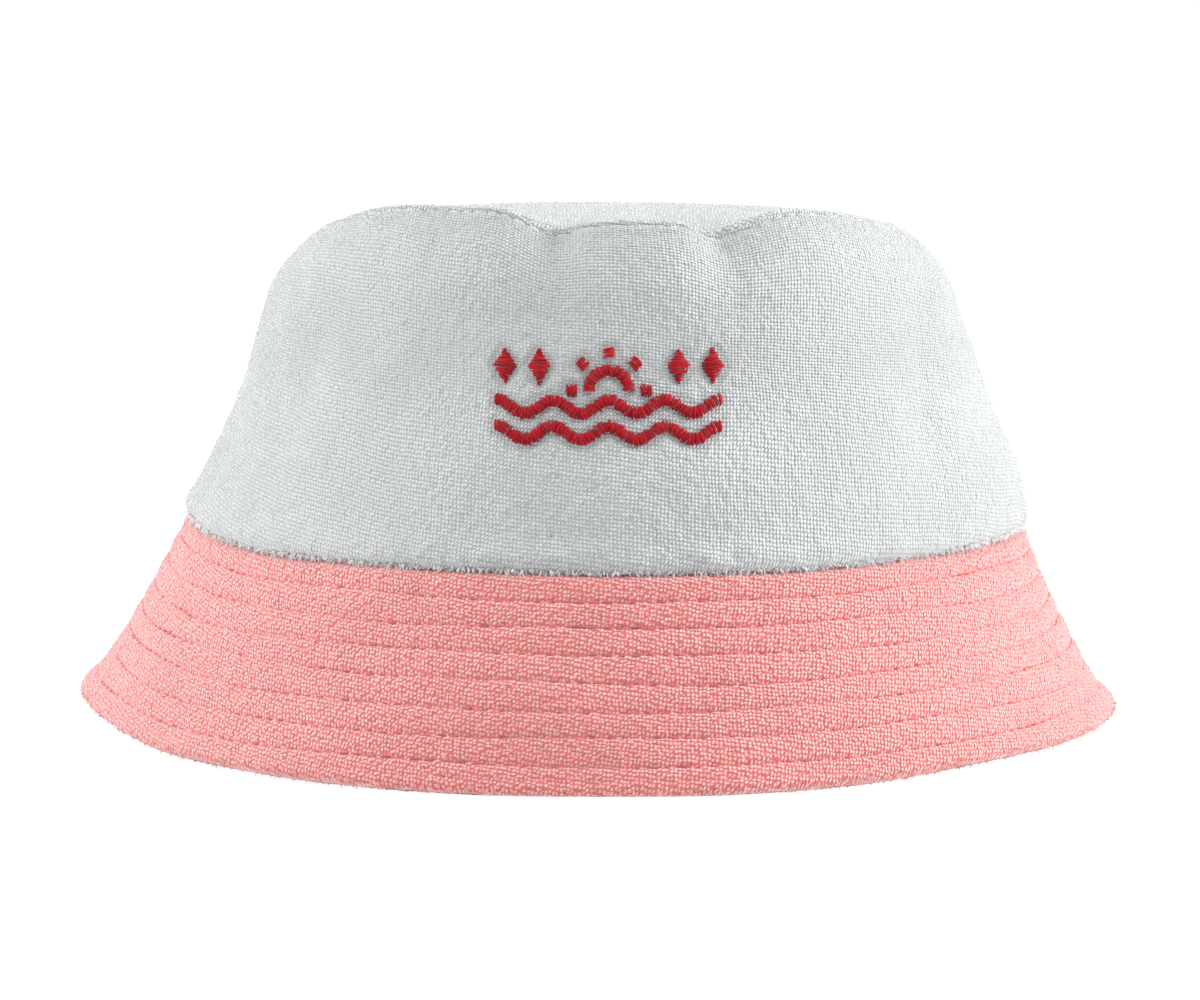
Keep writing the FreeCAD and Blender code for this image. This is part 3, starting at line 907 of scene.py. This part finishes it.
def fuzz(name, roots, along, lifts, length, look):
    """Loose loops of the pile that stand out past a seam or an edge."""
    number = len(roots)
    share = np.linspace(0, 1, 5)[None, :, None]
    reach = length * RNG.uniform(0.5, 1.3, (number, 1, 1))
    sway = RNG.normal(0, 0.5, (number, 1, 3))
    paths = roots[:, None] + (along[:, None] + sway) * reach * share
    paths = paths + lifts[:, None] * reach * 0.7 * np.sin(pi * 0.8 * share)
    paths[..., 2] = np.maximum(paths[..., 2], 0.3 * MM)
    radii = np.broadcast_to((0.13 - 0.05 * np.linspace(0, 1, 5)) * MM, paths.shape[:2])
    return tubes(name, paths, np.broadcast_to(lifts[:, None], paths.shape), radii, look, 4)


def seam_fuzz():
    """The pile of the crown's lower edge lies over the top of the brim."""
    turn, run = RNG.uniform(-pi, pi, SEAM_LOOPS), RNG.uniform(0.0, 0.008, SEAM_LOOPS)
    lifts = directions(crown_wall, turn, run)
    roots = crown_depth(turn, run, -wall_relief(turn, run))
    down = np.broadcast_to((0.0, 0.0, -1.0), roots.shape)
    piece = fuzz("crown_edge_fuzz", roots, down, lifts, 0.85 * MM, CROWN_FUZZ)
    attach(piece, "crown")


def tip_topstitching():
    """The two rows beside the tip seam."""
    turn, sunk, radii = stitches(TIP_RADIUS)
    out = tip_seam_relief(np.array(LIP)) - sunk + 0.12 * MM
    run = np.full(turn.shape, 1 - LIP / WALL_RUN)
    points = crown_depth(turn, run, -out)
    crown_row("tip_topstitch_lower", points, directions(crown_wall, turn, run), radii)
    turn = turn + 0.01
    rim = 1 - LIP / TIP_RADIUS
    across, deep = rim * np.sin(turn), -rim * np.cos(turn)
    points = tip_depth(across, deep, -out)
    crown_row("tip_topstitch_upper", points, directions(crown_tip, across, deep), radii)


# ---- Inside of the crown ----


def facing_in(name, surface, grids, depths, relief, flat, look, strip_count=1):
    """A layer whose inner face shows: the fine grid is that face, and the hidden one lies outside it."""
    (first, second), (depth, thickness) = grids, depths
    shown = surface(first, second, depth + thickness - relief)[:, ::-1]
    step = INNER_COARSE
    hidden = surface(first, second, np.full(first.shape, depth))[::step, ::step][:, ::-1]
    return cloth(name, shown, hidden, flat[:, ::-1], 0 * first, look, strip_count)


def lining_panel(place, middle):
    rows, columns = counts(pi * 0.9 * SEAM_RADIUS, WALL_RUN, INNER_STEP, INNER_COARSE)
    turn, run = np.meshgrid(half_turns(middle, columns), np.linspace(0.005, 0.995, rows))
    slack = np.maximum(0.22 * rough(turn.shape, 3.0) + 0.3 * rough(turn.shape, 8.0), -0.1) * MM
    relief = -slack * smooth(run, 0.40, 0.52) * (1 - smooth(run, 0.94, 1.0))
    flat = wall_flat(turn, run, middle)
    name, depths = f"lining_{place}_cotton", (LINING_DEPTH, LINING)
    piece = facing_in(name, crown_depth, (turn, run), depths, relief, flat, LINING_COTTON, 2)
    crown_cloth(piece, f"lining_{place}_panel")


def lining_tip():
    rows = counts(2 * TIP_RADIUS, 2 * TIP_RADIUS, INNER_STEP, INNER_COARSE)[0]
    across, deep = (0.985 * grid for grid in disc_grid(rows))
    relief = 0.25 * rough(across.shape, 6.0) * MM * (1 - np.hypot(across, deep) ** 6)
    flat = np.stack([across, OVAL * deep], -1) * TIP_RADIUS
    grids, depths = (across, deep), (LINING_DEPTH, LINING)
    piece = facing_in("lining_tip_cotton", tip_depth, grids, depths, relief, flat, LINING_COTTON)
    crown_cloth(piece, "lining_tip")


def band_relief(up):
    """The sweatband's face, drawn in along its two rows of stitching."""
    puffed = 0.25 * np.sin(pi * np.clip(up / BAND_HEIGHT, 0, 1)) ** 0.5
    rows = bell(up, BAND_STITCH, 0.7 * MM) + bell(up, BAND_HEIGHT - BAND_STITCH, 0.7 * MM)
    return (puffed - 0.35 * rows) * MM


def sweatband():
    """The sweatband, joined at the back of the hat, and its two rows of stitching."""
    rows, columns = counts(2 * pi * SEAM_RADIUS, BAND_HEIGHT, 0.8 * MM, INNER_COARSE)
    turn, up = np.meshgrid(np.linspace(-pi, pi, columns), np.linspace(0, BAND_HEIGHT, rows))
    relief = band_relief(up) + 0.05 * MM * rough(turn.shape, 2.0)
    flat = np.stack([turn * SEAM_RADIUS, up], -1)
    run = (BAND_LIFT + up) / WALL_RUN
    grids, depths = (turn, run), (BAND_DEPTH, BAND)
    piece = facing_in("sweatband_cotton", crown_depth, grids, depths, -relief, flat, BAND_COTTON, 6)
    crown_cloth(piece, "sweatband")
    for name, height in (("lower", BAND_STITCH), ("upper", BAND_HEIGHT - BAND_STITCH)):
        turn, sunk, radii = stitches(0.94 * SEAM_RADIUS)
        run = np.full(turn.shape, (BAND_LIFT + height) / WALL_RUN)
        points = crown_depth(turn, run, BAND_DEPTH + BAND + band_relief(height) - sunk + 0.12 * MM)
        crown_row(f"sweatband_stitch_{name}", points, -directions(crown_wall, turn, run), radii)


def tip_tape():
    """The tape over the tip seam's allowance, between the terry and the lining."""
    rim = np.linspace(-pi, pi, counts(2 * pi * TIP_RADIUS, 1.0, 2.8 * MM, 1)[1])
    turn, beyond = np.meshgrid(rim, np.linspace(TAPE / 2, TERRY + 0.4 * MM, 4))
    run, share = 1 - beyond / WALL_RUN, 1 - beyond[::-1] / TIP_RADIUS
    layers = [
        np.concatenate([
            crown_depth(turn, run, TERRY + depth),
            tip_depth(share * np.sin(turn), -share * np.cos(turn), TERRY + depth),
        ])
        for depth in (0.08 * MM, 0.4 * MM)
    ]
    turn, beyond = np.concatenate([turn, turn]), np.concatenate([-beyond, beyond[::-1]])
    flat = np.stack([turn * TIP_RADIUS, beyond], -1)
    piece = cloth("tip_seam_tape_cotton", *layers, flat, 0 * turn, SEAM_TAPE, 4)
    crown_cloth(piece, "tip_seam_tape")


def backing():
    """The stabiliser behind the embroidery."""
    low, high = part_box("embroidery_backing")
    x, z = np.meshgrid(np.linspace(low.x, high.x, 31), np.linspace(low.z, high.z, 17))
    turn, run = on_crown(x, z)
    layers = [crown_depth(turn, run, TERRY + depth * MM) for depth in (0.08, 0.4)]
    flat = np.stack([x, z], -1)
    piece = cloth("embroidery_backing_felt", *layers, flat, 0 * x, STABILISER, 1)
    crown_cloth(piece, "embroidery_backing")


def woven_label():
    """The blank label at the back of the sweatband, sewn down at both ends."""
    half = math.asin(LABEL_HIGH.x / LABEL_HIGH.y) * 0.98
    low, high = ((z - SEAM_Z) / (0.953 * WALL_RUN) for z in (LABEL_LOW.z, LABEL_HIGH.z))
    share, run = np.meshgrid(np.linspace(-1, 1, 65), np.linspace(low, high, 25))
    turn = pi + share * half
    width, height = 2 * half * 0.93 * SEAM_RADIUS, (high - low) * WALL_RUN
    sewn = bell(np.abs(share), 0.93, 0.035)
    relief = (0.25 * (1 - share**2) - 0.2 * sewn) * MM
    flat = np.stack([share * width / 2, run * WALL_RUN], -1)
    grids, depths = (turn, run), (LABEL_DEPTH, LABEL)
    piece = facing_in("woven_label_satin", crown_depth, grids, depths, -relief, flat, SATIN)
    crown_cloth(piece, "woven_label")


def care_label():
    """The folded blank label that hangs at the left side, sewn together along its top."""
    pivot = Vector(next(joint["pos_m"] for joint in frame["joints"] if joint["child"] == "care_label"))
    drop = pivot.z - CARE_LOW.z
    share = np.linspace(-1, 1, 49)
    down = np.sin(pi / 2 * (1 - np.abs(share))) ** 0.8
    ply = np.sign(share) * (0.22 + 0.28 * np.sin(pi * np.abs(share) ** 0.7)) * MM
    ply = ply * np.where(np.abs(share) < 0.12, np.sqrt(np.clip(np.abs(share) / 0.12, 0, 1)), 1)
    side = np.linspace(CARE_LOW.y, CARE_HIGH.y, 25)
    curl = 0.5 * MM * (2 * side / (CARE_HIGH.y - CARE_LOW.y)) ** 2
    x = pivot.x + ply[:, None] + curl[None, :] * down[:, None] * 0.6
    z = pivot.z + 0.3 * MM - (drop - 0.2 * MM) * down[:, None] + 0 * side[None, :]
    line = np.stack([x, side[None, :] + 0 * x, z], -1)
    out = unit(np.cross(np.gradient(line, axis=0), np.gradient(line, axis=1)))
    flat = np.stack([share[:, None] * drop + 0 * x, side[None, :] + 0 * x], -1)
    layers = (line + 0.11 * MM * out, line - 0.11 * MM * out)
    piece = cloth("care_label_satin", *layers, flat, 0 * x, SATIN, 1)
    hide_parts("care_label")
    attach(piece, "care_label")
    tack_y = np.arange(CARE_LOW.y + 0.6 * MM, CARE_HIGH.y - 0.6 * MM, 1.5 * MM)
    y = tack_y[:, None] + np.linspace(0, 1.1, 5) * MM
    out = pivot.x + (0.5 - 0.3 * STITCH_DIP) * MM
    paths = np.stack([out + 0 * y, y, 0 * y + pivot.z - 1.6 * MM], -1)
    lifts = np.broadcast_to((1.0, 0.0, 0.0), paths.shape)
    radii = np.broadcast_to((0.2 - 0.06 * STITCH_DIP) * MM, y.shape)
    tack = tubes("care_label_tack_thread", paths, lifts, radii, CROWN_THREAD)
    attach(tack, "care_label")


# ---- Brim ----


def bend(piece):
    """Bakes the piece's place into its mesh."""
    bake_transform(piece)


def brim_cloth(piece, node):
    """The piece stands for a node, and its place is baked into its mesh."""
    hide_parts(node)
    bend(piece)


def brim_cover(layer, place, middle, side):
    """One cover of the brim, front or back, over it (side 1) or under it (side -1)."""
    width = float(brim_width(np.array(0.0)))
    step = VERTEX_STEP if side > 0 else 1.3 * VERTEX_STEP
    rows, columns = counts(pi * 1.06 * SEAM_RADIUS, width, step)
    turn, share = np.meshgrid(half_turns(middle, columns), np.linspace(0, 1, rows))
    edge = brim_width(turn)
    along = BRIM_START + share * (edge - BRIM_START)
    from_side = (pi / 2 - np.abs(turn - middle)) * BRIM_RADIUS
    relief = brim_relief(turn, along) + 1.2 * pile(turn.shape) * smooth(share, 0.0, 0.02)
    relief = relief - 0.9 * MM * bell(from_side, 0, 0.6 * MM)
    outer = brim(turn, along, side * relief)
    inner_turn, inner_along = turn[HIDDEN], np.minimum(along, edge - 1.2 * MM)[HIDDEN]
    inner_out = np.clip(brim_relief(inner_turn, inner_along) - BRIM_COVER, 0.3 * MM, None)
    inner = brim(inner_turn, inner_along, side * inner_out)
    round_it = (turn - middle) * (SEAM_RADIUS + 0.4 * along)
    flat = np.stack([round_it, -along + BRIM_GRAIN * round_it], -1)
    # This mask flattens the pile and brings in the brim's darker pressed colour where the cover tucks under
    # the crown's edge, along the quilting rows and at the hem: partly pressed pile, partly painted shade.
    fold_shade = bell(along, 0.2 * MM, 1.3 * MM)
    hem_line = 0.3 * bell(along, edge - BRIM_HEM, 0.5 * MM)
    press = np.maximum(0.6 * brim_folds(turn, along)[1], np.maximum(fold_shade, hem_line))
    grids = (outer, inner, flat, press)
    if side > 0:
        grids = [grid[::-1] for grid in grids]
    name = f"brim_{layer}_{place}"
    piece = cloth(name + "_terry", *grids, BRIM_TERRY)
    brim_cloth(piece, name)


def brim_stiffening(place, middle):
    """The stiff layer between the covers."""
    width = 0.87 * float(brim_width(np.array(0.0)))
    rows, columns = counts(pi * SEAM_RADIUS, width, 3 * MM, 1)
    turn, share = np.meshgrid(half_turns(middle, columns), np.linspace(0.03, 0.9, rows))
    along = share * brim_width(turn)
    layers = [brim(turn, along, out * MM) for out in (0.25, -0.25)]
    flat = np.stack([(turn - middle) * SEAM_RADIUS, along], -1)
    grids = [grid[::-1] for grid in (*layers, flat, 0 * turn)]
    piece = cloth(f"brim_stiffening_{place}", *grids, STABILISER)
    brim_cloth(piece, f"brim_interlining_{place}")


def brim_row(number):
    """One row of quilting, seen over and under the brim."""
    turn, sunk, radii = stitches(1.06 * SEAM_RADIUS, RNG.random())
    along = row_place(turn, number) + RNG.normal(0, 0.1 * MM, (len(turn), 1))
    out = brim_relief(turn, along) - sunk - 0.05 * MM
    paths = [brim(turn, along, side * out) for side in (1, -1)]
    lifts = [brim(turn, along, side * (out + MM)) - path for side, path in zip((1, -1), paths)]
    paths, lifts, radii = (np.concatenate(parts) for parts in (paths, lifts, (radii, radii)))
    name = f"brim_stitch_row_{number}"
    piece = tubes(name + "_thread", paths, lifts, radii, BRIM_THREAD)
    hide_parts(name)
    bend(piece)


def edge_fuzz():
    """The pile that stands out round the brim's edge."""
    turn = RNG.uniform(-pi, pi, EDGE_LOOPS)
    along = brim_width(turn) - RNG.uniform(0.0, 1.2 * MM, turn.shape)
    out = brim_relief(turn, along) * RNG.choice((-1, 1), turn.shape)
    roots = brim(turn, along, 0.97 * out)
    outward = unit(brim(turn, along + MM, 0.97 * out) - roots)
    lifts = unit(brim(turn, along, 2 * np.abs(out) + MM) - roots)
    piece = fuzz("brim_edge_fuzz", roots, outward, lifts, 0.42 * MM, BRIM_FUZZ)
    bend(piece)


# ---- Studio ----


def softbox(name, place, size, power):
    """A soft rectangular light that faces the middle of the hat."""
    light = bpy.data.lights.new(name, "AREA")
    light.shape = "RECTANGLE"
    light.size, light.size_y = size
    light.energy = power
    lamp = bpy.data.objects.new(name, light)
    lamp.location = place
    aim = Vector((0, 0, 0.5 * CROWN_TOP_Z)) - lamp.location
    lamp.rotation_euler = aim.to_track_quat("-Z", "Y").to_euler()
    bpy.context.scene.collection.objects.link(lamp)


def pale_floor():
    mesh = bpy.data.meshes.new("floor")
    corners = [(-FLOOR, -FLOOR, 0), (FLOOR, -FLOOR, 0), (FLOOR, FLOOR, 0), (-FLOOR, FLOOR, 0)]
    mesh.from_pydata(corners, [], [(0, 1, 2, 3)])
    g = Graph("floor_white")
    matte = g.add("BsdfDiffuse", {"Color": FLOOR_GREY})
    glow = g.add("Emission", {"Color": WHITE, "Strength": FLOOR_GLOW})
    g.add_output(g.add("AddShader", {0: matte, 1: glow}))
    mesh.materials.append(g.material)
    floor = bpy.data.objects.new("floor", mesh)
    bpy.context.scene.collection.objects.link(floor)


def studio():
    pale_floor()
    world = bpy.data.worlds.new("studio")
    world.use_nodes = True
    background = world.node_tree.nodes["Background"]
    background.inputs["Color"].default_value = WHITE
    background.inputs["Strength"].default_value = WORLD_LIGHT
    bpy.context.scene.world = world
    for light in LIGHTS:
        softbox(*light)
    bpy.context.scene.view_settings.view_transform = "Standard"


def camera():
    lens = bpy.data.cameras.new("camera")
    lens.lens = LENS
    lens.clip_end = 200.0
    eye = bpy.data.objects.new("camera", lens)
    eye.location = EYE
    eye.rotation_euler = (math.radians(90 - LOOK_DOWN), 0.0, 0.0)
    bpy.context.scene.collection.objects.link(eye)
    bpy.context.scene.camera = eye


def main():
    crown_tip_cover()
    tip_topstitching()
    seam_fuzz()
    embroidery()
    lining_tip()
    sweatband()
    tip_tape()
    backing()
    woven_label()
    care_label()
    for place, middle in (("front", 0.0), ("back", pi)):
        crown_panel(place, middle)
        lining_panel(place, middle)
        brim_cover("top", place, middle, 1)
        brim_cover("under", place, middle, -1)
        brim_stiffening(place, middle)
    for number in range(1, ROWS + 1):
        brim_row(number)
    edge_fuzz()
    studio()
    camera()


main()
